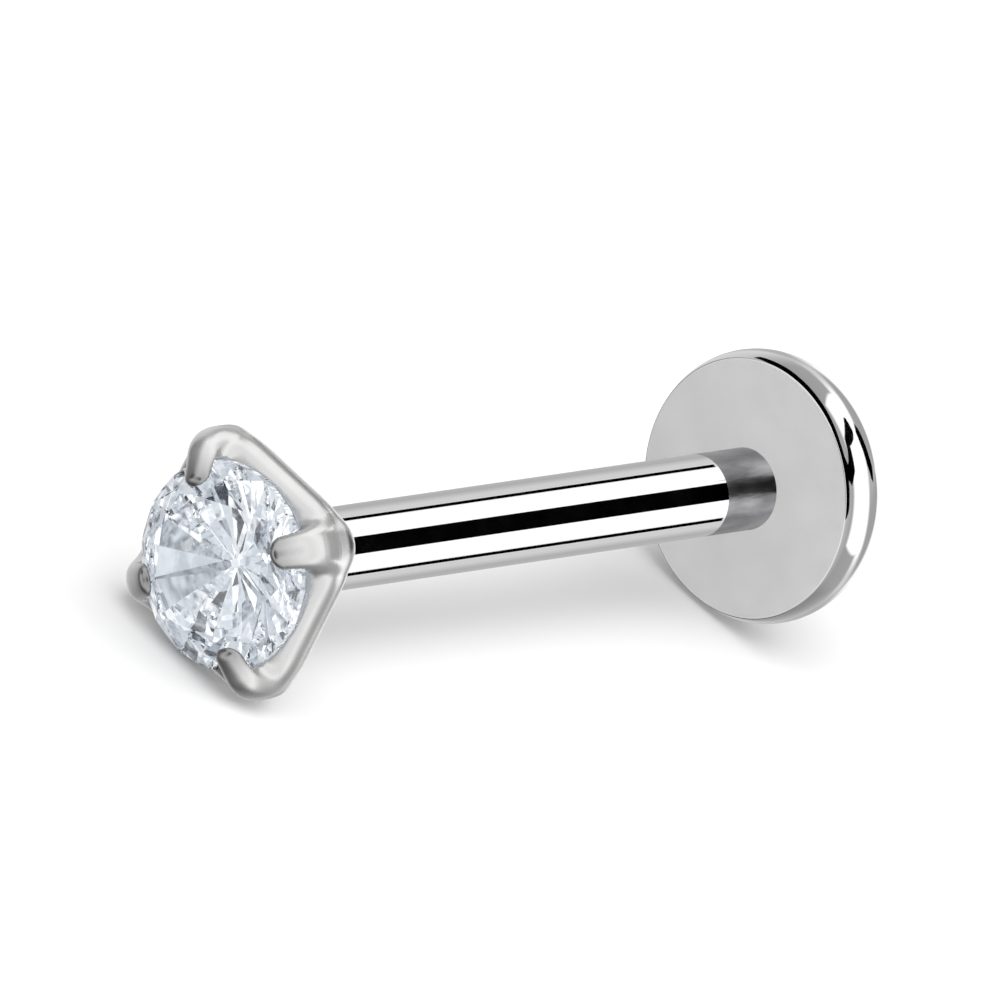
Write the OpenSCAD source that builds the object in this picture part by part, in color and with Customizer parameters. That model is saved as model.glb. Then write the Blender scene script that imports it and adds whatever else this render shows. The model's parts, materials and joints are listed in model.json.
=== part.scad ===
// Labret stud lying on its side: a flat-back post, a four-prong setting on its end, and a
// round brilliant-cut stone in the setting. Sizes are in millimetres.
// The stud is drawn upright about its own axis, with height 0 on the skin side of the disc
// and the post rising towards the stone, and is laid down once at the end.

/* [Post] */
// Diameter of the post (16 gauge)
post_d = 1.2; // [0.9:0.1:2]
// Length of the post between the disc and the setting
post_len = 10; // [5:0.5:16]
// Radius of the soft edge at the free end of the post
post_edge_r = 0.06; // [0.02:0.01:0.12]

/* [Disc] */
// Diameter of the flat disc, over its rounded rim
disc_d = 4.0; // [3:0.1:6]
// Thickness of the disc
disc_t = 1.1; // [0.8:0.05:1.4]
// How far inside the rim the flat skin side ends
face_inset = 0.1; // [0.06:0.02:0.2]
// How far inside the rim the flat outer side ends
back_inset = 0.56; // [0.4:0.02:0.8]

/* [Stem] */
// Diameter of the plain stem that plugs the setting into the post
stem_d = 0.7; // [0.4:0.05:0.75]
// Length of the stem below the setting
stem_len = 2.5; // [1.5:0.1:4]
// Gap round the stem in its hole
stem_gap = 0.02; // [0.01:0.01:0.04]
// Gap between the end of the stem and the floor of its hole
stem_end_gap = 0.1; // [0.05:0.05:0.3]

/* [Stone] */
// Diameter of the stone at its girdle
stone_d = 3.0; // [2:0.1:4]
// Width of the sloping crown between the girdle and a corner of the table
crown_w = 0.47; // [0.3:0.01:0.6]
// Height of the crown above the girdle
crown_h = 0.26; // [0.2:0.02:0.4]
// Height of the girdle band
girdle_h = 0.12; // [0.06:0.01:0.16]
// Depth of the pavilion below the girdle
pavilion_h = 1.24; // [1:0.02:1.4]
// Number of main facets on the crown and on the pavilion
mains = 8; // [8:2:12]

/* [Setting] */
// Gap between the stone and the metal round it
stone_gap = 0.02; // [0.01:0.01:0.03]
// Gap between the setting and the end of the post
face_gap = 0.02; // [0.01:0.01:0.04]
// Metal left under the point of the stone
floor_t = 0.14; // [0.12:0.02:0.3]
// Wall between the stone and the middle of a flat side
wall_t = 0.14; // [0.1:0.01:0.2]
// Diameter of the round foot that sits on the post
foot_d = 1.44; // [1.3:0.02:1.6]
// Depth of the front edge of the walls behind the middle of the girdle
rim_drop = 0.16; // [0.12:0.02:0.24]
// Metal outside the seat at the front edge of the walls
rim_w = 0.04; // [0.02:0.01:0.08]
// Depth of the widest part of the walls behind the middle of the girdle
belly_drop = 0.56; // [0.5:0.02:0.64]
// Radius of the bend at the widest part of the walls
belly_bend_r = 0.4; // [0.1:0.02:0.4]
// Width of the ledge that the stone bears on
ledge_w = 0.2; // [0.12:0.02:0.3]

/* [Prongs] */
// Number of prongs
prongs = 4; // [4:2:6]
// Metal between the stone and the outer face of a prong
prong_root_t = 0.42; // [0.38:0.02:0.56]
// Depth of the widest part of a prong behind the middle of the girdle
prong_drop = 0.68; // [0.6:0.02:0.76]
// How far a prong stands proud of the corner it grows from
rib_t = 0.04; // [0.02:0.01:0.08]
// Width of a prong at its bend
root_w = 0.56; // [0.46:0.02:0.7]
// Width of a prong at its rounded tip
tip_w = 0.45; // [0.36:0.01:0.6]
// How far a prong reaches in over the stone from the girdle
reach = 0.36; // [0.26:0.02:0.42]
// Thickness of a prong over the crown
prong_t = 0.12; // [0.11:0.01:0.2]
// Radius of the bend where a prong turns over the stone
bend_r = 0.4; // [0.2:0.02:0.4]
// Radius that softens the upper and lower edges of a prong tip
tip_edge_r = 0.045; // [0.02:0.005:0.05]
// Radius that softens the edge of the foot
edge_r = 0.06; // [0.02:0.01:0.08]

/* [Hidden] */
steel = [0.76, 0.76, 0.77];
satin = [0.72, 0.71, 0.71];
clear = [0.86, 0.92, 0.96];
$fn = 96;

post_r = post_d / 2;
disc_r = disc_d / 2;
stem_r = stem_d / 2;
stone_r = stone_d / 2;
table_r = stone_r - crown_w;
foot_r = foot_d / 2;

// Heights along the stud
foot_z = post_len + face_gap;
culet_z = foot_z + floor_t + stone_gap;
pavilion_z = culet_z + pavilion_h;
girdle_z = pavilion_z + girdle_h / 2;
crown_z = pavilion_z + girdle_h;
table_z = crown_z + crown_h;
rim_z = girdle_z - rim_drop;
belly_z = girdle_z - belly_drop;
prong_belly_z = girdle_z - prong_drop;
stem_z = foot_z - stem_len;
hole_z = stem_z - stem_end_gap;

// Radii of the setting
seat_r = stone_r + stone_gap;
side_r = seat_r + wall_t;
prong_r = seat_r + prong_root_t;
corner_r = prong_r - rib_t;
tip_r = stone_r - reach;

// A bend is no wider than the metal it rounds
prong_bend_r = min(bend_r, prong_root_t - edge_r);
belly_r = min(belly_bend_r, prong_root_t - edge_r);

// Slopes of the stone, as height for each millimetre of radius
crown_slope = crown_h / crown_w;
pavilion_slope = pavilion_h / stone_r;

// Both faces of a prong follow the crown, and the outer one bends down into the prong's side
under_z = crown_z + stone_gap + crown_slope * reach;
prong_top_z = under_z + prong_t * norm([1, crown_slope]);
bend_z = prong_top_z - crown_slope * (prong_r - tip_r);

// The angle between the middle of a flat side and the prong beside it
half_side = 180 / prongs;

// Long enough to pass through the whole setting
through = 4 * prong_r;

function polar(r, a, z) = [r * cos(a), r * sin(a), z];
function unit(v) = v / norm(v);
function angle_between(u, v) = acos(min(1, max(-1, unit(u) * unit(v))));

// A rounded corner at b between a and c: how far from b its arc starts, and its centre
function arc_run(a, b, c, r) = r / tan(angle_between(a - b, c - b) / 2);
function arc_centre(a, b, c, r) =
    b + unit(unit(a - b) + unit(c - b)) * r / sin(angle_between(a - b, c - b) / 2);

// A closed outline whose outward corners are rounded by true arcs. Each row is [r, z, radius],
// with a radius of 0 where the corner stays sharp.
module rounded_outline(rows) {
    n = len(rows);
    points = [for (row = rows) [row[0], row[1]]];
    function before(i) = points[(i + n - 1) % n];
    function after(i) = points[(i + 1) % n];
    function centre(i) = arc_centre(before(i), points[i], after(i), rows[i][2]);
    function arc_end(i, next) = points[i]
        + unit(next - points[i]) * arc_run(before(i), points[i], after(i), rows[i][2]);
    function arc_ends(i) = [arc_end(i, before(i)), arc_end(i, after(i))];
    polygon([for (i = [0:n - 1]) each rows[i][2] == 0 ? [points[i]] : arc_ends(i)]);
    for (i = [0:n - 1]) if (rows[i][2] > 0) intersection() {
        polygon([arc_ends(i)[0], points[i], arc_ends(i)[1], centre(i)]);
        translate(centre(i)) circle(rows[i][2]);
    }
}

// The rim is one arc from the skin side's edge, over the widest point, to the outer side's edge
rim_ratio = 1 - back_inset / face_inset;
rim_spare = disc_t * disc_t - back_inset * (face_inset - back_inset);
rim_depth = (disc_t - sqrt(disc_t * disc_t - rim_ratio * rim_spare)) / rim_ratio;
rim_r = (rim_depth * rim_depth / face_inset + face_inset) / 2;
rim_core_r = disc_r - rim_r;
back_r = disc_r - back_inset;

module disc_section() {
    intersection() {
        translate([0, -disc_t]) square([disc_r, disc_t]);
        union() {
            translate([rim_core_r, -rim_depth]) circle(rim_r);
            translate([0, -disc_t]) square([max(rim_core_r, post_r), disc_t]);
        }
    }
}

module flatback_post() {
    color(steel) difference() {
        rotate_extrude() {
            disc_section();
            rounded_outline([
                [0, -disc_t / 2, 0],
                [post_r, -disc_t / 2, 0],
                [post_r, post_len, post_edge_r],
                [0, post_len, 0]]);
        }
        translate([0, 0, hole_z]) cylinder(h = post_len, r = stem_r + stem_gap);
    }
}

// Outer section of the setting through a corner
module corner_section() {
    rounded_outline([
        [0, foot_z, 0],
        [foot_r, foot_z, edge_r],
        [corner_r, prong_belly_z, belly_r],
        [corner_r, rim_z, 0],
        [0, rim_z, 0]]);
}

// Half of the outer section across two opposite flat sides, which lean in from the widest part
// to a narrow front edge
module side_half_section() {
    rounded_outline([
        [0, foot_z, 0],
        [foot_r, foot_z, 0],
        [side_r, belly_z, belly_r],
        [seat_r + rim_w, rim_z, 0],
        [0, rim_z, 0]]);
}

// The outer shape: a turned bowl whose sides are flattened between the prongs
module bowl() {
    intersection() {
        rotate_extrude() corner_section();
        intersection_for(i = [0:prongs / 2 - 1])
            rotate([90, 0, (2 * i + 1) * half_side])
                linear_extrude(height = through, center = true) {
                    side_half_section();
                    mirror([1, 0]) side_half_section();
                }
    }
}

// The hollow: a sloping ledge that the stone bears on, and a deep well round the pavilion
module hollow() {
    ledge_z = pavilion_z - stone_gap;
    rotate_extrude() polygon([
        [0, culet_z - stone_gap],
        [foot_r - floor_t, culet_z - stone_gap],
        [seat_r - ledge_w, ledge_z - ledge_w * pavilion_slope - stone_gap],
        [seat_r, ledge_z],
        [seat_r, table_z],
        [0, table_z]]);
}

// A prong seen from the side: it runs up the corner from the foot and bends over the crown
module prong_side() {
    rounded_outline([
        [tip_r, under_z, tip_edge_r],
        [seat_r, crown_z + stone_gap, 0],
        [seat_r, prong_belly_z, 0],
        [foot_r - rib_t - edge_r, foot_z + edge_r, 0],
        [foot_r - rib_t, foot_z + edge_r, 0],
        [prong_r, prong_belly_z, belly_r],
        [prong_r, bend_z, prong_bend_r],
        [tip_r, prong_top_z, tip_edge_r]]);
}

// A prong seen along the stud: its sides narrow inwards, to a round tip over the stone
tip_x = tip_r + tip_w / 2;
prong_taper = (root_w - tip_w) / 2 / (prong_r - tip_x);
rib_end_w = max(edge_r, tip_w - 2 * prong_taper * tip_x);

module prong_plan(inner_x, inner_w) {
    polygon([
        [inner_x, -inner_w / 2],
        [prong_r, -root_w / 2],
        [prong_r, root_w / 2],
        [inner_x, inner_w / 2]]);
}

module prong() {
    intersection() {
        rotate([90, 0, 0]) linear_extrude(height = through, center = true) prong_side();
        union() {
            translate([0, 0, prong_belly_z]) linear_extrude(height = through) {
                translate([tip_x, 0]) circle(tip_w / 2);
                prong_plan(tip_x, tip_w);
            }
            translate([0, 0, foot_z]) linear_extrude(height = prong_belly_z - foot_z)
                prong_plan(0, rib_end_w);
        }
    }
}

module prong_setting() {
    color(satin) {
        difference() {
            bowl();
            hollow();
        }
        for (i = [0:prongs - 1]) rotate(i * 2 * half_side) prong();
        translate([0, 0, stem_z]) cylinder(h = stem_len + floor_t / 2, r = stem_r);
    }
}

// Shares of the stone's crown and radius that place the inner corners of its facets
star_share = 0.5;
lower_share = 0.12;

// A round brilliant. Each main facet has a row of corners: the table's, then those under the
// star, at both edges of the girdle, and between the mains of the pavilion.
module gemstone() {
    step = 360 / mains;
    half = step / 2;
    star_r = table_r + star_share * crown_w;
    lower_r = lower_share * stone_r;
    star_z = crown_z + crown_slope * (stone_r - star_r * cos(half));
    lower_z = culet_z + pavilion_slope * lower_r * cos(half);
    rows = [for (i = [0:mains - 1]) [
        polar(table_r, i * step, table_z),
        polar(star_r, i * step + half, star_z),
        polar(stone_r, i * step, crown_z),
        polar(stone_r, i * step + half, crown_z),
        polar(stone_r, i * step, pavilion_z),
        polar(stone_r, i * step + half, pavilion_z),
        polar(lower_r, i * step + half, lower_z)]];
    row = len(rows[0]);
    culet = row * mains;
    function table(i) = (i + mains) % mains * row;
    function star(i) = table(i) + 1;
    function top(i) = table(i) + 2;
    function top_mid(i) = table(i) + 3;
    function low(i) = table(i) + 4;
    function low_mid(i) = table(i) + 5;
    function lower(i) = table(i) + 6;
    color(clear) polyhedron(
        points = [for (corners = rows) each corners, [0, 0, culet_z]],
        faces = [
            [for (i = [mains - 1:-1:0]) table(i)],
            for (i = [0:mains - 1]) each [
                [table(i), table(i + 1), star(i)],
                [table(i), star(i), top(i), star(i - 1)],
                [star(i), top_mid(i), top(i)],
                [star(i), top(i + 1), top_mid(i)],
                [top(i), top_mid(i), low_mid(i), low(i)],
                [top_mid(i), top(i + 1), low(i + 1), low_mid(i)],
                [lower(i), low(i), low_mid(i)],
                [lower(i), low_mid(i), low(i + 1)],
                [culet, lower(i - 1), low(i), lower(i)]]]);
}

// How far the stud hangs below its own axis when it is tipped: at the disc's rim, at the widest
// part of a flat side, and at the outer edges of the two lowest prongs
function rim_hang(tip) = rim_core_r * cos(tip) - rim_depth * sin(tip) + rim_r;
belly_core = arc_centre([foot_r, foot_z], [side_r, belly_z], [seat_r + rim_w, rim_z], belly_r);
function side_hang(tip) = belly_core[0] * cos(tip) + belly_core[1] * sin(tip) + belly_r;
bend_core = arc_centre([prong_r, foot_z], [prong_r, bend_z], [tip_r, prong_top_z], prong_bend_r);
function prong_hang(tip) =
    (bend_core[0] * cos(half_side) + root_w / 2 * sin(half_side)) * cos(tip)
    + bend_core[1] * sin(tip) + prong_bend_r * norm([cos(half_side) * cos(tip), sin(tip)]);

// The stud tips until the disc and the setting touch the same surface
function rest_tip(tip, turns) = turns == 0 ? tip : rest_tip(
    tip + asin((rim_hang(tip) - max(side_hang(tip), prong_hang(tip))) / (rim_z + rim_depth)),
    turns - 1);
tilt = rest_tip(0, 8);

// The ends of the tipped stud: a prong tip in front, the outer side of the disc at the back
tip_core = arc_centre([tip_r, under_z], [tip_r, prong_top_z], [prong_r, bend_z], tip_edge_r);
front_x = tip_core[1] * cos(tilt) + tip_core[0] * cos(half_side) * sin(tilt) + tip_edge_r;
back_x = disc_t * cos(tilt) + back_r * sin(tilt);

module lay_down() {
    translate([(front_x - back_x) / 2, 0, rim_hang(tilt)])
        rotate([0, -90 - tilt, 0]) rotate(half_side) children();
}

lay_down() flatback_post();
lay_down() prong_setting();
lay_down() gemstone();
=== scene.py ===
import json
import math

import bmesh
import bpy
import numpy as np
from mathutils import Matrix, Vector


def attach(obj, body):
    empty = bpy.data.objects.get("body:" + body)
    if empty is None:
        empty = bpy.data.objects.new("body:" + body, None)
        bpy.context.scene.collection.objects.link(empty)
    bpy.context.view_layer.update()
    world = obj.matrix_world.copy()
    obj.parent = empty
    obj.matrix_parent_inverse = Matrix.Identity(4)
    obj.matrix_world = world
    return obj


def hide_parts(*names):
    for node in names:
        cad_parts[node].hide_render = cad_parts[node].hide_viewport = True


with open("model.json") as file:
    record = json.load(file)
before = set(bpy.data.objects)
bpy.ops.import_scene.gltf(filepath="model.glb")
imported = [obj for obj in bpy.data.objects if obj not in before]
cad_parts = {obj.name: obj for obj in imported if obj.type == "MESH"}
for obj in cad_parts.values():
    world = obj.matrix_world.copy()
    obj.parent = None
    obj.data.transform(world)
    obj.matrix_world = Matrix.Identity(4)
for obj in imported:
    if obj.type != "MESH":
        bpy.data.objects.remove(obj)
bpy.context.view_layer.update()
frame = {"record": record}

# Sizes of the stud in millimetres, in its own upright frame: height 0 is the skin side of
# the disc, and the post rises towards the stone.
MM = 0.001
POST_R = 0.6
POST_LEN = 10.0
POST_EDGE_R = 0.06
DISC_R = 2.0
DISC_T = 1.1
FACE_INSET = 0.1
BACK_INSET = 0.56
DISC_EDGE_R = 0.025
COLLAR_LEN = 1.07
STEM_R = 0.35
STEM_LEN = 2.5
STEM_GAP = 0.02
STEM_END_GAP = 0.1

STONE_R = 1.5
CROWN_W = 0.47
CROWN_H = 0.26
GIRDLE_H = 0.12
PAVILION_H = 1.24
MAINS = 8
STAR_SHARE = 0.5
LOWER_SHARE = 0.12

STONE_GAP = 0.02
FACE_GAP = 0.02
FLOOR_T = 0.14
WALL_T = 0.14
FOOT_R = 0.72
RIM_DROP = 0.16
RIM_W = 0.04
BELLY_DROP = 0.56
BELLY_BEND_R = 0.4
LEDGE_W = 0.2

PRONG_ROOT_T = 0.42
PRONG_DROP = 0.68
RIB_T = 0.04
ROOT_W = 0.56
TIP_W = 0.45
REACH = 0.36
PRONG_T = 0.12
PRONG_BEND_R = 0.5
TIP_EDGE_R = 0.045
EDGE_R = 0.06

# Heights and radii that follow from the sizes
FOOT_Z = POST_LEN + FACE_GAP
CULET_Z = FOOT_Z + FLOOR_T + STONE_GAP
PAVILION_Z = CULET_Z + PAVILION_H
GIRDLE_Z = PAVILION_Z + GIRDLE_H / 2
CROWN_Z = PAVILION_Z + GIRDLE_H
TABLE_Z = CROWN_Z + CROWN_H
TABLE_R = STONE_R - CROWN_W
RIM_Z = GIRDLE_Z - RIM_DROP
BELLY_Z = GIRDLE_Z - BELLY_DROP
PRONG_BELLY_Z = GIRDLE_Z - PRONG_DROP
STEM_Z = FOOT_Z - STEM_LEN
HOLE_Z = STEM_Z - STEM_END_GAP
SEAT_R = STONE_R + STONE_GAP
SIDE_R = SEAT_R + WALL_T
PRONG_R = SEAT_R + PRONG_ROOT_T
CORNER_R = PRONG_R - RIB_T
TIP_R = STONE_R - REACH
CROWN_SLOPE = CROWN_H / CROWN_W
PAVILION_SLOPE = PAVILION_H / STONE_R
UNDER_Z = CROWN_Z + STONE_GAP + CROWN_SLOPE * REACH
PRONG_TOP_Z = UNDER_Z + PRONG_T * math.hypot(1, CROWN_SLOPE)
BEND_Z = PRONG_TOP_Z - CROWN_SLOPE * (PRONG_R - TIP_R)

# The stud lies down along the piercing's axis, with its prongs halfway between up and level
channel = next(m for m in frame["record"]["mounts"] if m["name"] == "piercing_channel")
ALONG = Vector(channel["axis"]).normalized()
ACROSS = Vector((0, 1, 0))
UP = ACROSS.cross(ALONG)
ORIGIN = Vector(channel["pos_m"]) - ALONG * channel["dims"]["length_mm"] / 2 * MM
LAY_DOWN = (
    Matrix.Translation(ORIGIN)
    @ Matrix((UP, ACROSS, ALONG)).transposed().to_4x4()
    @ Matrix.Rotation(math.radians(45), 4, "Z")
    @ Matrix.Scale(MM, 4)
)

# Across the stud, the camera sees it from NEAR, with HIGH upwards. VIEW_SPIN turns both a
# little from the prongs.
VIEW_SPIN = math.radians(2)
NEAR_FLAT = Vector((-math.sin(VIEW_SPIN), -math.cos(VIEW_SPIN), 0))
HIGH_FLAT = Vector((math.cos(VIEW_SPIN), -math.sin(VIEW_SPIN), 0))
NEAR = (LAY_DOWN.to_3x3() @ NEAR_FLAT).normalized()
HIGH = (LAY_DOWN.to_3x3() @ HIGH_FLAT).normalized()


# Mesh helpers

SEGMENTS = 256
CORNER_STEPS = 8
ON_AXIS_R = 1e-6


def add_piece(name, mesh, node, materials):
    """A finished mesh in millimetres becomes a piece laid down in the frame."""
    mesh.transform(LAY_DOWN)
    piece = bpy.data.objects.new(name, mesh)
    bpy.context.scene.collection.objects.link(piece)
    for material in materials:
        mesh.materials.append(material)
    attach(piece, "root")
    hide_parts(node)
    return piece


def line(start, end, steps=1):
    """Points of a straight stretch of profile, each with its outward normal."""
    run = np.subtract(end, start)
    normal = np.array([run[1], -run[0]]) / np.hypot(*run)
    return [(*(np.array(start) + run * i / steps), *normal) for i in range(steps + 1)]


def arc(centre, radius, start, end, steps):
    """Points of an arc of profile, each with its outward normal, between two angles."""
    points = []
    for angle in np.linspace(start, end, steps + 1):
        normal = np.array([math.cos(angle), math.sin(angle)])
        points.append((*(np.array(centre) + radius * normal), *normal))
    return points


def revolve(name, stretches):
    """Turns stretches of profile, each with its own material, about the stud's axis."""
    rings, vertices, faces, normals, finishes = {}, [], [], [], []
    angles = [2 * math.pi * i / SEGMENTS for i in range(SEGMENTS)]

    def ring(r, z):
        key = (round(r, 7), round(z, 7))
        if key not in rings:
            first = len(vertices)
            if r < ON_AXIS_R:
                vertices.append((0, 0, z))
                rings[key] = [first] * SEGMENTS
            else:
                vertices.extend((r * math.cos(a), r * math.sin(a), z) for a in angles)
                rings[key] = list(range(first, first + SEGMENTS))
        return rings[key]

    def turned(normal, i):
        a = angles[i]
        return normal[0] * math.cos(a), normal[0] * math.sin(a), normal[1]

    for points, finish in stretches:
        for low, high in zip(points, points[1:]):
            below, above = ring(*low[:2]), ring(*high[:2])
            for i in range(SEGMENTS):
                j = (i + 1) % SEGMENTS
                corners = [
                    (below[i], turned(low[2:], i)),
                    (below[j], turned(low[2:], j)),
                    (above[j], turned(high[2:], j)),
                    (above[i], turned(high[2:], i)),
                ]
                if above[i] == above[j]:
                    corners.pop(3)
                if below[i] == below[j]:
                    corners.pop(1)
                faces.append([c[0] for c in corners])
                normals.extend(c[1] for c in corners)
                finishes.append(finish)
    mesh = bpy.data.meshes.new(name)
    mesh.from_pydata(vertices, [], faces)
    mesh.polygons.foreach_set("material_index", finishes)
    mesh.polygons.foreach_set("use_smooth", [True] * len(faces))
    mesh.normals_split_custom_set(normals)
    return mesh


# Post and disc

def disc_mesh():
    """The disc, whose rim is one arc between the flat skin side and the flat back."""
    ratio = 1 - BACK_INSET / FACE_INSET
    spare = DISC_T**2 - BACK_INSET * (FACE_INSET - BACK_INSET)
    rim_depth = (DISC_T - math.sqrt(DISC_T**2 - ratio * spare)) / ratio
    rim_r = (rim_depth**2 / FACE_INSET + FACE_INSET) / 2
    core_r = DISC_R - rim_r
    inner = rim_r - DISC_EDGE_R
    face_rise = rim_depth - DISC_EDGE_R
    back_drop = DISC_T - DISC_EDGE_R - rim_depth
    face_x = core_r + math.sqrt(inner**2 - face_rise**2)
    back_x = core_r + math.sqrt(inner**2 - back_drop**2)
    face_turn = math.asin(face_rise / inner)
    back_turn = -math.asin(back_drop / inner)
    quarter = math.pi / 2
    polished, satin = 0, 1
    return revolve("flat_disc", [
        (line((0, -DISC_T), (back_x, -DISC_T), steps=4), polished),
        (arc((back_x, DISC_EDGE_R - DISC_T), DISC_EDGE_R, -quarter, back_turn, steps=4),
         polished),
        (arc((core_r, -rim_depth), rim_r, back_turn, face_turn, steps=48), polished),
        (arc((face_x, -DISC_EDGE_R), DISC_EDGE_R, face_turn, quarter, steps=6), polished),
        (line((face_x, 0), (0, 0), steps=8), satin)])


def post_mesh():
    """The post, brushed where it meets the disc, with the hidden hole for the stem."""
    hole_r = STEM_R + STEM_GAP
    top, rounded_r = POST_LEN - POST_EDGE_R, POST_R - POST_EDGE_R
    brushed, polished = 0, 1
    return revolve("post", [
        (line((0, 0), (POST_R, 0)), brushed),
        (line((POST_R, 0), (POST_R, COLLAR_LEN), steps=4), brushed),
        (line((POST_R, COLLAR_LEN), (POST_R, top), steps=24), polished),
        (arc((rounded_r, top), POST_EDGE_R, 0, math.pi / 2, steps=6), polished),
        (line((rounded_r, POST_LEN), (hole_r, POST_LEN)), polished),
        (line((hole_r, POST_LEN), (hole_r, HOLE_Z)), polished),
        (line((hole_r, HOLE_Z), (0, HOLE_Z)), polished)])


# Setting, as one smooth field whose zero level is its surface

CELL = 0.028
# How softly its surfaces meet: the walls' front edge and the prongs, the bowl and its flat
# sides, the walls and their front edge, the prongs and the bowl, a prong's back and its sides,
# and the edges that are cut
SWEEP_EDGE = 0.35
WALL_EDGE = 0.2
RIM_EDGE = 0.26
PRONG_EDGE = 0.2
PRONG_ROUND = 0.32
CRISP_EDGE = 0.03
# A prong's ridge is rounded off, and its underside starts inside the stone's room, which
# cuts it. Its end bends down onto the stone.
PRONG_RIDGE = 0.08
PRONG_SINK = 0.1
NOSE_RUN = 0.12
NOSE_T = 0.035
NOSE_BEND_R = 0.12
# The mesh is drawn onto the field's zero level in a few steps, by a slope of at least this
DRAW_STEPS = 3
LEAST_SLOPE = 0.3


def outline_distance(points, x, y):
    """Signed distance to a closed outline, below zero inside it."""
    nearest = np.full(x.shape, np.inf)
    inside = np.zeros(x.shape, bool)
    for (ax, ay), (bx, by) in zip(points, points[1:] + points[:1]):
        ex, ey = bx - ax, by - ay
        wx, wy = x - ax, y - ay
        t = np.clip((wx * ex + wy * ey) / (ex * ex + ey * ey), 0, 1)
        nearest = np.minimum(nearest, (wx - ex * t) ** 2 + (wy - ey * t) ** 2)
        if ey:
            inside ^= ((ay <= y) != (by <= y)) & (wx < ex * wy / ey)
    return np.where(inside, -1, 1) * np.sqrt(nearest)


def both(a, b, soft):
    """The common part of two fields, with the edge where they meet softened."""
    h = np.maximum(soft - np.abs(a - b), 0) / soft
    return np.maximum(a, b) + h * h * soft / 4


def either(a, b, soft):
    """The union of two fields, with a fillet where they meet."""
    return -both(-a, -b, soft)


def rounded(points):
    """An outline with true arcs at its corners. Each row is (r, z, radius)."""
    result = []
    for i, (x, y, radius) in enumerate(points):
        here = np.array([x, y])
        if not radius:
            result.append((x, y))
            continue
        back = np.array(points[i - 1][:2]) - here
        ahead = np.array(points[(i + 1) % len(points)][:2]) - here
        back, ahead = back / np.hypot(*back), ahead / np.hypot(*ahead)
        half = math.acos(np.clip(back @ ahead, -1, 1)) / 2
        run = radius / math.tan(half)
        middle = (back + ahead) / np.hypot(*(back + ahead))
        centre = here + middle * radius / math.sin(half)
        first, last = here + back * run - centre, here + ahead * run - centre
        for t in np.linspace(0, 1, CORNER_STEPS + 1):
            spoke = first * (1 - t) + last * t
            result.append(tuple(centre + spoke / np.hypot(*spoke) * radius))
    return result


CROWN_FALL = CROWN_SLOPE * (CORNER_R - TIP_R)
CORNER_OUTLINE = rounded([
    (0, FOOT_Z, 0),
    (FOOT_R, FOOT_Z, EDGE_R),
    (CORNER_R, PRONG_BELLY_Z, BELLY_BEND_R),
    (CORNER_R, BEND_Z, PRONG_BEND_R),
    (TIP_R, BEND_Z + CROWN_FALL, 0),
    (0, BEND_Z + CROWN_FALL, 0)])
LEAN = (SIDE_R - SEAT_R - RIM_W) / (RIM_Z - BELLY_Z)
SIDE_OUTLINE = rounded([
    (-1, FOOT_Z, 0),
    (FOOT_R, FOOT_Z, 0),
    (SIDE_R, BELLY_Z, BELLY_BEND_R),
    (SIDE_R - LEAN * (PRONG_TOP_Z - BELLY_Z), PRONG_TOP_Z, 0),
    (-1, PRONG_TOP_Z, 0)])
PRONG_OUTLINE = rounded([
    (TIP_R, UNDER_Z - PRONG_SINK, 0),
    (SEAT_R, CROWN_Z - PRONG_SINK, 0),
    (SEAT_R, PRONG_BELLY_Z, 0),
    (FOOT_R - RIB_T - EDGE_R, FOOT_Z + EDGE_R, 0),
    (FOOT_R - RIB_T, FOOT_Z + EDGE_R, 0),
    (PRONG_R, PRONG_BELLY_Z, BELLY_BEND_R),
    (PRONG_R, BEND_Z, PRONG_BEND_R),
    (TIP_R + NOSE_RUN, PRONG_TOP_Z - CROWN_SLOPE * NOSE_RUN, NOSE_BEND_R),
    (TIP_R, UNDER_Z + NOSE_T, TIP_EDGE_R)])
HOLLOW_OUTLINE = [
    (-1, CULET_Z - STONE_GAP),
    (FOOT_R - FLOOR_T, CULET_Z - STONE_GAP),
    (SEAT_R - LEDGE_W, PAVILION_Z - LEDGE_W * PAVILION_SLOPE - 2 * STONE_GAP),
    (SEAT_R, PAVILION_Z - STONE_GAP),
    (SEAT_R, CROWN_Z + STONE_GAP),
    (TIP_R - REACH, UNDER_Z + CROWN_SLOPE * REACH),
    (-1, UNDER_Z + CROWN_SLOPE * REACH)]


def setting_field(x, y, z):
    """Signed distance to the setting. All four prongs are folded onto one."""
    out, side = np.maximum(abs(x), abs(y)), np.minimum(abs(x), abs(y))
    radius = np.hypot(x, y)
    tip_x = TIP_R + TIP_W / 2
    # The ridge along a prong is rounded off, and the widths stay
    root, end = math.hypot(ROOT_W / 2, PRONG_RIDGE), math.hypot(TIP_W / 2, PRONG_RIDGE)
    taper = (root - end) / (PRONG_R - tip_x)
    band = (np.hypot(side, PRONG_RIDGE) - root + taper * (PRONG_R - out)) / math.hypot(1, taper)
    tip = np.hypot(np.hypot(out - tip_x, side), PRONG_RIDGE) - end
    width = np.where((out < tip_x) & (z > RIM_Z), tip, band)
    prong = both(outline_distance(PRONG_OUTLINE, out, z), width, PRONG_ROUND)
    # The walls' front edge sweeps up into the prongs
    sweep = either(z - RIM_Z, width, SWEEP_EDGE)
    sides = outline_distance(SIDE_OUTLINE, (out + side) / math.sqrt(2), z)
    bowl = both(outline_distance(CORNER_OUTLINE, radius, z), sides, WALL_EDGE)
    body = either(both(bowl, sweep, RIM_EDGE), prong, PRONG_EDGE)
    body = both(body, -outline_distance(HOLLOW_OUTLINE, radius, z), CRISP_EDGE)
    stem_ends = abs(z - (STEM_Z + FOOT_Z) / 2) - STEM_LEN / 2 - EDGE_R
    stem = both(radius - STEM_R, stem_ends, CRISP_EDGE)
    return np.minimum(body, stem)


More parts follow.
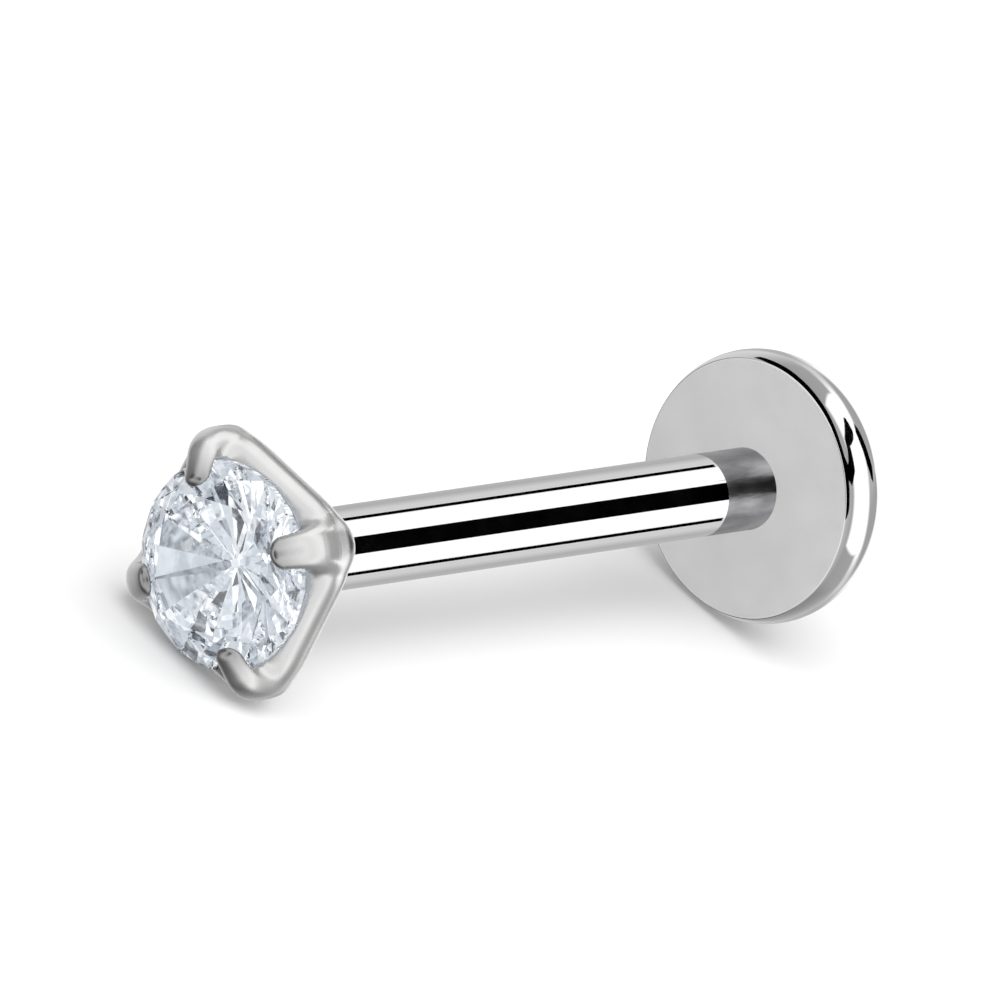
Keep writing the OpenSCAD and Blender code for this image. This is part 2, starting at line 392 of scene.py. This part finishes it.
def grown_from_field(name, field, reach, bottom, top):
    """A quad mesh of the field's zero level, on a grid that is symmetric about the axis."""
    n = math.ceil(reach / CELL)
    levels = math.ceil((top - bottom) / CELL)
    near = np.arange(n + 1) * CELL
    heights = bottom + np.arange(levels + 1) * CELL
    eighth = field(*np.meshgrid(near, near, heights, indexing="ij"))
    index = abs(np.arange(-n, n + 1))
    grid = eighth[index[:, None], index[None, :], :]
    start = np.array([-n * CELL, -n * CELL, bottom])

    # One vertex for each cell that the surface crosses, at the mean of its edges' crossings
    size = np.array(grid.shape) - 1
    total = np.zeros((*size, 3), np.float32)
    count = np.zeros(size, np.int8)
    corners = [(i, j, k) for i in (0, 1) for j in (0, 1) for k in (0, 1)]

    def corner(c):
        return grid[c[0]:c[0] + size[0], c[1]:c[1] + size[1], c[2]:c[2] + size[2]]

    for a in corners:
        for axis in range(3):
            if a[axis]:
                continue
            b = tuple(c + (i == axis) for i, c in enumerate(a))
            va, vb = corner(a), corner(b)
            crossed = (va < 0) != (vb < 0)
            share = np.where(crossed, va / np.where(crossed, va - vb, 1), 0)
            count += crossed
            for i in range(3):
                total[..., i] += np.where(crossed, a[i] + (share if i == axis else 0), 0)
    cells = np.argwhere(count > 0)
    number = np.full(size, -1)
    number[tuple(cells.T)] = np.arange(len(cells))
    inside_cell = total[tuple(cells.T)] / count[tuple(cells.T)][:, None]
    vertices = start + (cells + inside_cell) * CELL

    # One quad round each grid edge that the surface crosses
    faces = []
    for axis in range(3):
        u, v = (axis + 1) % 3, (axis + 2) % 3
        low = np.moveaxis(grid, (axis, u, v), (0, 1, 2))
        first, second = low[:-1, 1:-1, 1:-1] < 0, low[1:, 1:-1, 1:-1] < 0
        order = np.moveaxis(number, (axis, u, v), (0, 1, 2))
        for leaving, flip in ((first & ~second, False), (~first & second, True)):
            i, j, k = np.nonzero(leaving)
            quad = [
                order[i, j, k], order[i, j + 1, k],
                order[i, j + 1, k + 1], order[i, j, k + 1]]
            faces.append(np.stack(quad[::-1] if flip else quad, 1))
    faces = np.concatenate(faces)

    # Each vertex is drawn onto the true surface, whose slope there is its normal
    step = CELL / 4
    for _ in range(DRAW_STEPS):
        x, y, z = vertices.T
        slope = np.stack([
            field(x + step, y, z) - field(x - step, y, z),
            field(x, y + step, z) - field(x, y - step, z),
            field(x, y, z + step) - field(x, y, z - step)], 1) / (2 * step)
        length = np.maximum(np.linalg.norm(slope, axis=1), LEAST_SLOPE)
        drawn = np.clip(field(x, y, z) / length, -CELL / 2, CELL / 2)
        vertices = vertices - slope / length[:, None] * drawn[:, None]
    mesh = bpy.data.meshes.new(name)
    mesh.from_pydata(vertices.tolist(), [], faces.tolist())
    mesh.polygons.foreach_set("use_smooth", [True] * len(faces))
    mesh.normals_split_custom_set_from_vertices((slope / length[:, None]).tolist())
    return mesh


def setting_mesh():
    """The setting and its stem, on a grid that reaches a few cells past them."""
    return grown_from_field(
        "four_prong_setting", setting_field, PRONG_R + 2 * CELL,
        STEM_Z - EDGE_R - 3 * CELL, PRONG_TOP_Z + 3 * CELL)


# Stone

GIRDLE_SEGMENTS = 180
CUT_TOLERANCE = 1e-6
MERGE_TOLERANCE = 1e-4


def stone_mesh():
    """A round brilliant, ground from a cylinder one facet at a time."""
    star_r = TABLE_R + STAR_SHARE * CROWN_W
    lower_r = LOWER_SHARE * STONE_R
    half = math.pi / MAINS
    star_z = CROWN_Z + CROWN_SLOPE * (STONE_R - star_r * math.cos(half))
    lower_z = CULET_Z + PAVILION_SLOPE * lower_r * math.cos(half)

    def polar(r, angle, z):
        return Vector((r * math.cos(angle), r * math.sin(angle), z))

    facets = [(Vector((0, 0, TABLE_Z)), Vector((0, 0, 1)))]

    def facet(a, b, c):
        normal = (b - a).cross(c - a).normalized()
        inward = Vector((0, 0, GIRDLE_Z)) - a
        facets.append((a, -normal if normal.dot(inward) > 0 else normal))

    for i in range(MAINS):
        at, mid, after = 2 * i * half, (2 * i + 1) * half, 2 * (i + 1) * half
        table, next_table = polar(TABLE_R, at, TABLE_Z), polar(TABLE_R, after, TABLE_Z)
        star = polar(star_r, mid, star_z)
        top, top_mid, next_top = (polar(STONE_R, turn, CROWN_Z) for turn in (at, mid, after))
        low, low_mid, next_low = (polar(STONE_R, turn, PAVILION_Z) for turn in (at, mid, after))
        lower, lower_before = polar(lower_r, mid, lower_z), polar(lower_r, at - half, lower_z)
        facet(table, star, top)
        facet(table, next_table, star)
        facet(star, top, top_mid)
        facet(star, top_mid, next_top)
        facet(lower_before, lower, low)
        facet(lower, low, low_mid)
        facet(lower, low_mid, next_low)
    work = bmesh.new()
    bmesh.ops.create_cone(
        work, cap_ends=True, segments=GIRDLE_SEGMENTS, radius1=STONE_R, radius2=STONE_R,
        depth=2 * PAVILION_H, matrix=Matrix.Translation((0, 0, GIRDLE_Z)))
    for point, normal in facets:
        cut = bmesh.ops.bisect_plane(
            work, geom=work.verts[:] + work.edges[:] + work.faces[:], dist=CUT_TOLERANCE,
            plane_co=point, plane_no=normal, clear_outer=True)
        edges = [e for e in cut["geom_cut"] if isinstance(e, bmesh.types.BMEdge)]
        bmesh.ops.contextual_create(work, geom=edges)
    bmesh.ops.remove_doubles(work, verts=work.verts[:], dist=MERGE_TOLERANCE)
    bmesh.ops.recalc_face_normals(work, faces=work.faces[:])
    mesh = bpy.data.meshes.new("brilliant_stone")
    work.to_mesh(mesh)
    work.free()
    return mesh


# Materials

BUMP_MM = 0.01
GLOSS_RIPPLES = 2.3
GRAIN_DETAIL = 2.0
STONE_COLOUR = (0.97, 0.985, 1.0)
STONE_IOR = 2.15
HAZE_RIPPLES = 4.0
HAZE = (0.0, 0.012)
WAVE_RIPPLES = 3.0
WAVE_DEPTH = 0.15
# Painted shade: the prongs' ends fade to a darker colour over this much of their length, standing
# in for the shade and dark reflections there. It is full from this far above the crown's edge.
PAINTED_TIP_SHADE = (0.30, 0.295, 0.30)
PAINTED_TIP_SHADE_W = 0.5
PAINTED_TIP_SHADE_H = 0.08


def new_material(name, colour, metallic=1.0):
    """A Principled material with its node tree, ready for detail."""
    material = bpy.data.materials.new(name)
    material.use_nodes = True
    tree = material.node_tree
    shader = tree.nodes["Principled BSDF"]
    shader.inputs["Base Color"].default_value = (*colour, 1)
    shader.inputs["Metallic"].default_value = metallic
    return material, tree, shader


def add_node(tree, kind, settings=None, **inputs):
    """A node with its settings, whose inputs are values or other nodes' outputs.

    An input is named as Blender names it, or by its number after a low line.
    """
    made = tree.nodes.new(kind)
    for key, value in (settings or {}).items():
        setattr(made, key, value)
    for key, value in inputs.items():
        socket = made.inputs[int(key[1:]) if key[0] == "_" else key]
        if isinstance(value, bpy.types.NodeSocket):
            tree.links.new(value, socket)
        else:
            socket.default_value = value
    return made


def vector_math(tree, operation, vector, other=(0, 0, 0)):
    """A node that works on a vector, with a fixed one as its other input."""
    made = add_node(tree, "ShaderNodeVectorMath", {"operation": operation}, _0=vector)
    made.inputs[1].default_value = other
    return made


def in_millimetres(tree, stretch=(1, 1, 1)):
    """Object coordinates in millimetres, turned to lie along the stud, and stretched."""
    coords = add_node(tree, "ShaderNodeTexCoord").outputs["Object"]
    turn = LAY_DOWN.inverted().to_euler()
    mapping = add_node(tree, "ShaderNodeMapping", Vector=coords)
    mapping.inputs["Rotation"].default_value = turn
    mapping.inputs["Scale"].default_value = (1 / MM,) * 3
    return vector_math(tree, "MULTIPLY", mapping.outputs[0], stretch).outputs[0]


def noise(tree, where, scale, detail=3.0):
    """Soft noise from 0 to 1 at so many ripples for each millimetre."""
    made = add_node(tree, "ShaderNodeTexNoise", Vector=where, Scale=scale, Detail=detail)
    return made.outputs["Fac"]


def spread(tree, value, low, high, start=0.3, end=0.7):
    """Maps a value, such as noise, onto a range between low and high."""
    made = add_node(tree, "ShaderNodeMapRange", Value=value)
    ends = {"From Min": start, "From Max": end, "To Min": low, "To Max": high}
    for key, number in ends.items():
        made.inputs[key].default_value = number
    return made.outputs["Result"]


def tint(tree, value, low, high):
    """Mixes two colours, or two nodes' outputs, by a value from 0 to 1."""
    made = add_node(tree, "ShaderNodeMix", {"data_type": "RGBA"}, Factor=value)
    for socket, colour in zip(made.inputs[6:8], (low, high)):
        if isinstance(colour, bpy.types.NodeSocket):
            tree.links.new(colour, socket)
        else:
            socket.default_value = (*colour, 1)
    return made.outputs[2]


def add_bump(tree, shader, height, strength):
    """Lets a pattern of heights bend the light on a surface."""
    bump = add_node(tree, "ShaderNodeBump", Height=height)
    bump.inputs["Strength"].default_value = strength
    bump.inputs["Distance"].default_value = BUMP_MM * MM
    tree.links.new(bump.outputs["Normal"], shader.inputs["Normal"])


def metal(name, colour, worn, roughness, grain, grain_depth, grain_stretch, clouds=1.1):
    """Steel with a slight cloud in its colour and gloss, and a fine grain."""
    material, tree, shader = new_material(name, colour)
    plain = in_millimetres(tree)
    grained = in_millimetres(tree, grain_stretch)
    cloud = spread(tree, noise(tree, grained, clouds), 0, 1)
    tree.links.new(tint(tree, cloud, colour, worn), shader.inputs["Base Color"])
    gloss = spread(tree, noise(tree, plain, GLOSS_RIPPLES), *roughness)
    tree.links.new(gloss, shader.inputs["Roughness"])
    add_bump(tree, shader, noise(tree, grained, grain, GRAIN_DETAIL), grain_depth)
    return material


def paint_tip_shade(material):
    """Paints shade onto the prongs' ends, where they bend down onto the stone."""
    tree = material.node_tree
    colour = tree.nodes["Principled BSDF"].inputs["Base Color"]
    place = vector_math(tree, "ADD", in_millimetres(tree), LAY_DOWN.inverted().translation)
    place = place.outputs[0]
    across = vector_math(tree, "MULTIPLY", place, (1, 1, 0)).outputs[0]
    radius = vector_math(tree, "LENGTH", across).outputs["Value"]
    height = vector_math(tree, "DOT_PRODUCT", place, (0, 0, 1)).outputs["Value"]
    inner = spread(tree, radius, 1, 0, TIP_R, TIP_R + PAINTED_TIP_SHADE_W)
    above = spread(tree, height, 0, 1, GIRDLE_Z, CROWN_Z + PAINTED_TIP_SHADE_H)
    share = add_node(tree, "ShaderNodeMath", {"operation": "MULTIPLY"}, _0=inner, _1=above)
    painted_shade_colour = tint(tree, share.outputs[0], colour.links[0].from_socket, PAINTED_TIP_SHADE)
    tree.links.new(painted_shade_colour, colour)


def stone_material():
    """Clear cubic zirconia, with a trace of haze and waviness on its facets."""
    material, tree, shader = new_material("clear_stone", STONE_COLOUR, metallic=0)
    shader.inputs["Transmission Weight"].default_value = 1
    shader.inputs["IOR"].default_value = STONE_IOR
    haze = spread(tree, noise(tree, in_millimetres(tree), HAZE_RIPPLES), *HAZE)
    tree.links.new(haze, shader.inputs["Roughness"])
    waves = noise(tree, in_millimetres(tree), WAVE_RIPPLES, detail=1.0)
    add_bump(tree, shader, waves, WAVE_DEPTH)
    return material


def matt_material(name, colour, glow=0):
    """Matt and without gloss, for what the stud is photographed in."""
    material, _, shader = new_material(name, colour, metallic=0)
    shader.inputs["Roughness"].default_value = 1
    shader.inputs["Specular IOR Level"].default_value = 0
    shader.inputs["Emission Color"].default_value = (1, 1, 1, 1)
    shader.inputs["Emission Strength"].default_value = glow
    return material


# Studio

FRAME_MM = 14.46
LENS = 1000
SENSOR = 36
CLIP = (0.01, 10)
# The angles between the view and the stud's axis, and of the picture's top from HIGH
VIEW_TURN = math.radians(41)
VIEW_ROLL = math.radians(8.3)
# Where the middle of the disc's skin side lies in the picture, from its middle, right and up
DISC_RIGHT_MM = 3.54
DISC_UP_MM = 0.165

FLOOR_REACH = 2.0
FLOOR_COLOUR = (0.9, 0.9, 0.9)
SOFTBOX_SPOT = (-0.06, -0.05, 0.2)
SOFTBOX_SIZE = 0.2
SOFTBOX_POWER = 0.25
MAX_BOUNCES = 32
CLEAR_BOUNCES = 24

# How bright the studio is. Behind the stud it depends on the angle round the stud from the
# camera's side. In front of it, it depends on the angle from the stone's axis, with one row
# for the camera's side and one for the far side. Each pair is an angle in degrees and a level.
REAR_BANDS = [(0, 1.4), (68, 1.4), (80, 1.0), (93, 0.78), (104, 0.78), (128, 0.52), (180, 0.52)]
BACK_BANDS = [(0, 0.6), (40, 0.45), (110, 0.42), (140, 1.2)]
NEAR_BANDS = [
    (0, 0.22), (7, 0.35), (17, 1.1), (35, 0.95), (50, 0.95), (72, 1.2), (86, 0.6), (100, 0.42),
    (125, 0.45)]
FAR_BANDS = [
    (0, 0.22), (24, 0.75), (42, 1.0), (50, 0.8), (60, 0.3), (84, 0.3), (100, 0.7), (130, 0.8)]
# The angles over which one row of bands gives way to another, in degrees
FAR_FROM = (95, 125)
REAR_FROM = (130, 136)
BACK_FROM = (142, 149)
# What is behind the stud reaches so many degrees further forward on the camera's side, which
# fades out between two angles round the stud
REAR_LIFT = 32
REAR_LIFT_TO = (52, 68)
# The studio is dimmer straight below, from one share of downward direction to another
UNDER_DIM = 0.45
UNDER_FROM = (0.6, 0.95)

# What the stone gathers: pale and grey-blue cards with a few dark gaps between them
CARD_SCALE = 7.0
CARD_DETAIL = 2.5
CARD_TINTS = [
    (0.38, (0.01, 0.015, 0.03)),
    (0.41, (0.30, 0.34, 0.40)),
    (0.48, (0.60, 0.65, 0.71)),
    (0.56, (0.80, 0.84, 0.88)),
    (0.62, (1.35, 1.37, 1.4))]
BACKDROP = 1.0

# Black flags that only mirrors see lie level with the disc. Each is drawn by what the post
# mirrors: angles round the post in degrees, and the first and last height on the post.
FLAGS = [((-12, 12), (0, 10.4)), ((38, 43.5), (1.1, 10.4)), ((-43.5, -38), (1.1, 10.4))]
FLAG_Z = -0.01
FLAG_STEPS = 8
# Cards by finish, with near, high and along at their corners
CARDS = [
    # The tip of the near prong
    ("black_felt", [(0.0, -0.9, 14.6), (0.0, 0.9, 14.6), (1.25, 0.9, 14.6), (1.25, -0.9, 14.6)]),
    # The upper prong
    ("black_felt", [(-3.3, 1.7, 14.1), (-3.3, 4.3, 14.1), (-1.9, 4.3, 15.3), (-1.9, 1.7, 15.3)]),
    # The left side of the disc
    ("black_felt", [(-40, -28, 15), (-40, 28, 15), (-19, 28, 15), (-19, -28, 15)]),
    # The outer end of the near prong
    ("grey_card", [(4.2, -3.0, 11.2), (4.2, 3.0, 11.2), (6.5, 4.5, 6.0), (6.5, -4.5, 6.0)]),
    # The upper edge of the setting
    ("white_card", [(1.0, 9.6, 13.6), (6.5, 7.5, 13.6), (6.5, 7.5, 8.6), (1.0, 9.6, 8.6)])]
GLOWS = {"black_felt": 0, "grey_card": 0.4, "white_card": 1.15}
# Two ribbons round the disc make the dark stripe on its rim. Each row is near, high, along
# and half the width.
RIBBONS = [
    [(-4.8, 12.8, -4.7, 0.6), (-1.3, 14.1, -3.2, 1.1), (3.5, 14.2, -1.6, 1.4),
     (8.0, 12.4, -0.4, 1.5), (11.7, 9.1, 0.5, 1.4), (13.7, 5.7, 1.1, 1.2), (14.6, 2.9, 1.2, 1.2),
     (14.9, 0.7, 0.4, 1.5), (14.9, -0.3, -1.2, 2.0), (15.6, 1.3, -3.1, 1.8),
     (16.0, 3.8, -4.0, 1.3), (16.1, 6.2, -4.8, 1.4), (17.5, 8.1, -7.9, 1.9),
     (20.8, 12.0, -14.0, 3.0), (27.0, 18.9, -23.6, 4.4), (34.0, 25.6, -35.1, 4.4)],
    [(27.2, 20.6, -41.8, 4.0), (22.6, 13.5, -38.0, 6.0), (19.0, 4.5, -36.4, 5.5),
     (15.7, 0.5, -38.1, 4.0), (11.6, -1.4, -39.4, 2.5)]]


def place_camera():
    """A long lens, turned from the stone's axis, so the stud rises to the right."""
    towards = ALONG * math.cos(VIEW_TURN) + NEAR * math.sin(VIEW_TURN)
    level = NEAR * math.cos(VIEW_TURN) - ALONG * math.sin(VIEW_TURN)
    right = level * math.cos(VIEW_ROLL) - HIGH * math.sin(VIEW_ROLL)
    up = level * math.sin(VIEW_ROLL) + HIGH * math.cos(VIEW_ROLL)
    data = bpy.data.cameras.new("camera")
    data.lens, data.sensor_width = LENS, SENSOR
    camera = bpy.data.objects.new("camera", data)
    bpy.context.scene.collection.objects.link(camera)
    distance = FRAME_MM * MM * LENS / SENSOR
    target = ORIGIN - (right * DISC_RIGHT_MM + up * DISC_UP_MM) * MM
    turned = Matrix((right, up, towards)).transposed().to_4x4()
    camera.matrix_world = Matrix.Translation(target + towards * distance) @ turned
    data.clip_start, data.clip_end = CLIP
    bpy.context.scene.camera = camera


def lay_floor():
    """A pale matt floor that the stud rests on. Polished metal mirrors the studio alone."""
    mesh = bpy.data.meshes.new("floor")
    signs = ((-1, -1), (1, -1), (1, 1), (-1, 1))
    corners = [(x * FLOOR_REACH, y * FLOOR_REACH, 0) for x, y in signs]
    mesh.from_pydata(corners, [], [(0, 1, 2, 3)])
    floor = bpy.data.objects.new("floor", mesh)
    bpy.context.scene.collection.objects.link(floor)
    mesh.materials.append(matt_material("pale_floor", FLOOR_COLOUR))
    floor.visible_glossy = floor.visible_transmission = False


def light_studio():
    """Soft light and dark bands all round the stud, seen in the metal and the stone."""
    world = bpy.data.worlds.new("studio")
    bpy.context.scene.world = world
    world.use_nodes = True
    tree = world.node_tree
    direction = add_node(tree, "ShaderNodeTexCoord").outputs["Generated"]

    def share(axis):
        return vector_math(tree, "DOT_PRODUCT", direction, axis).outputs["Value"]

    def calculated(operation, a, b=0.0):
        return add_node(tree, "ShaderNodeMath", {"operation": operation}, _0=a, _1=b).outputs[0]

    def half_turns(operation, *values):
        return calculated("DIVIDE", calculated(operation, *values), math.pi)

    def over(angle, turns, low=0, high=1):
        return spread(tree, angle, low, high, turns[0] / 180, turns[1] / 180)

    def ramp(value, rows):
        made = add_node(tree, "ShaderNodeValToRGB", Fac=value)
        stops = made.color_ramp.elements
        while len(stops) < len(rows):
            stops.new(1.0)
        for stop, (place, colour) in zip(stops, rows):
            stop.position = place
            stop.color = (*colour, 1)
        return made.outputs["Color"]

    def bands(rows, angle):
        return ramp(angle, [(degrees / 180, (level,) * 3) for degrees, level in rows])

    about = calculated("ABSOLUTE", half_turns("ARCTAN2", share(HIGH), share(NEAR)))
    forward = half_turns("ARCCOSINE", share(ALONG))
    lift = over(about, REAR_LIFT_TO, REAR_LIFT / 180, 0)
    behind = over(calculated("ADD", forward, lift), REAR_FROM)
    seen = tint(tree, over(about, FAR_FROM), bands(NEAR_BANDS, forward), bands(FAR_BANDS, forward))
    seen = tint(tree, behind, seen, bands(REAR_BANDS, about))
    seen = tint(tree, over(forward, BACK_FROM), seen, bands(BACK_BANDS, about))
    under = spread(tree, share((0, 0, -1)), 1, UNDER_DIM, *UNDER_FROM)
    strength = calculated("MAXIMUM", under, behind)
    mirrored = add_node(tree, "ShaderNodeBackground", Color=seen, Strength=strength)
    cards = add_node(
        tree, "ShaderNodeTexNoise", Vector=direction, Scale=CARD_SCALE, Detail=CARD_DETAIL)
    through = add_node(
        tree, "ShaderNodeBackground", Color=ramp(cards.outputs["Fac"], CARD_TINTS))
    plain = add_node(tree, "ShaderNodeBackground", Color=(1, 1, 1, 1), Strength=BACKDROP)
    path = add_node(tree, "ShaderNodeLightPath").outputs
    surface = mirrored.outputs[0]
    for ray, shown in (("Is Transmission Ray", through), ("Is Camera Ray", plain)):
        mix = add_node(
            tree, "ShaderNodeMixShader", Fac=path[ray], _1=surface, _2=shown.outputs[0])
        surface = mix.outputs[0]
    tree.links.new(surface, tree.nodes["World Output"].inputs["Surface"])


def hang_flags():
    """Flags, ribbons and cards as one mesh that only mirrors can see."""
    vertices, faces = [], []

    def flat(near, high, along):
        return NEAR_FLAT * near + HIGH_FLAT * high + Vector((0, 0, along))

    def mirrored(turn, height):
        """Where the camera, by way of the post, sees the level that the flags lie on."""
        out = (height - FLAG_Z) * math.tan(VIEW_TURN)
        return flat(
            POST_R * math.cos(turn) + out * math.cos(2 * turn),
            POST_R * math.sin(turn) + out * math.sin(2 * turn), FLAG_Z)

    def strip(pairs):
        first = len(vertices)
        vertices.extend(point for pair in pairs for point in pair)
        for i in range(first, first + 2 * len(pairs) - 2, 2):
            faces.append((i, i + 1, i + 3, i + 2))

    for turns, heights in FLAGS:
        angles = [math.radians(turn) for turn in np.linspace(*turns, FLAG_STEPS + 1)]
        strip([[mirrored(angle, height) for height in heights] for angle in angles])
    for rows in RIBBONS:
        middles = [flat(*row[:3]) for row in rows]
        pairs = []
        for i, middle in enumerate(middles):
            run = middles[min(i + 1, len(rows) - 1)] - middles[max(i - 1, 0)]
            side = run.cross(middle).normalized() * rows[i][3]
            pairs.append((middle - side, middle + side))
        strip(pairs)
    finishes = [0] * len(faces)
    for name, corners in CARDS:
        a, b, c, d = (flat(*corner) for corner in corners)
        strip([(a, b), (d, c)])
        finishes.append(list(GLOWS).index(name))
    mesh = bpy.data.meshes.new("flags")
    mesh.from_pydata(vertices, [], faces)
    mesh.polygons.foreach_set("material_index", finishes)
    mesh.transform(LAY_DOWN)
    flags = bpy.data.objects.new("flags", mesh)
    bpy.context.scene.collection.objects.link(flags)
    for name, glow in GLOWS.items():
        mesh.materials.append(matt_material(name, (0, 0, 0), glow))
    flags.visible_camera = flags.visible_diffuse = False
    flags.visible_transmission = flags.visible_shadow = False


def add_softbox():
    """A square area light that points at the stud and isn't mirrored in it."""
    data = bpy.data.lights.new("overhead_softbox", "AREA")
    data.size, data.energy = SOFTBOX_SIZE, SOFTBOX_POWER
    light = bpy.data.objects.new("overhead_softbox", data)
    bpy.context.scene.collection.objects.link(light)
    light.location = SOFTBOX_SPOT
    light.rotation_mode = "QUATERNION"
    light.rotation_quaternion = (-Vector(SOFTBOX_SPOT)).to_track_quat("-Z", "Y")
    light.visible_glossy = light.visible_transmission = False


def set_look():
    """Plain display of colours, and enough bounces for the stone."""
    scene = bpy.context.scene
    scene.view_settings.view_transform = "Standard"
    scene.cycles.max_bounces = MAX_BOUNCES
    scene.cycles.glossy_bounces = scene.cycles.transmission_bounces = CLEAR_BOUNCES


# The stud

polished_steel = metal(
    "polished_steel", colour=(0.80, 0.80, 0.81), worn=(0.76, 0.76, 0.77),
    roughness=(0.03, 0.06), grain=6.0, grain_depth=0.02, grain_stretch=(1, 1, 0.1))
satin_face = metal(
    "satin_face", colour=(0.94, 0.935, 0.935), worn=(0.90, 0.895, 0.895),
    roughness=(0.42, 0.5), grain=30.0, grain_depth=0.25, grain_stretch=(1, 1, 1))
brushed_collar = metal(
    "brushed_collar", colour=(0.52, 0.52, 0.53), worn=(0.22, 0.22, 0.23),
    roughness=(0.34, 0.44), grain=14.0, grain_depth=0.6, grain_stretch=(1, 1, 0.3), clouds=3.0)
satin_steel = metal(
    "satin_steel", colour=(0.80, 0.793, 0.79), worn=(0.74, 0.733, 0.73),
    roughness=(0.25, 0.3), grain=24.0, grain_depth=0.08, grain_stretch=(1, 1, 1))
# Painted shade darkens the prongs' ends in the setting's colour
paint_tip_shade(satin_steel)

disc = add_piece(
    "flat_disc", disc_mesh(), "flatback_post", [polished_steel, satin_face])
post = add_piece(
    "post", post_mesh(), "flatback_post", [brushed_collar, polished_steel])
setting = add_piece(
    "four_prong_setting", setting_mesh(), "prong_setting", [satin_steel])
add_piece("brilliant_stone", stone_mesh(), "gemstone", [stone_material()])
disc.visible_glossy = post.visible_glossy = False
disc.visible_transmission = post.visible_transmission = setting.visible_transmission = False

place_camera()
lay_floor()
light_studio()
hang_flags()
add_softbox()
set_look()
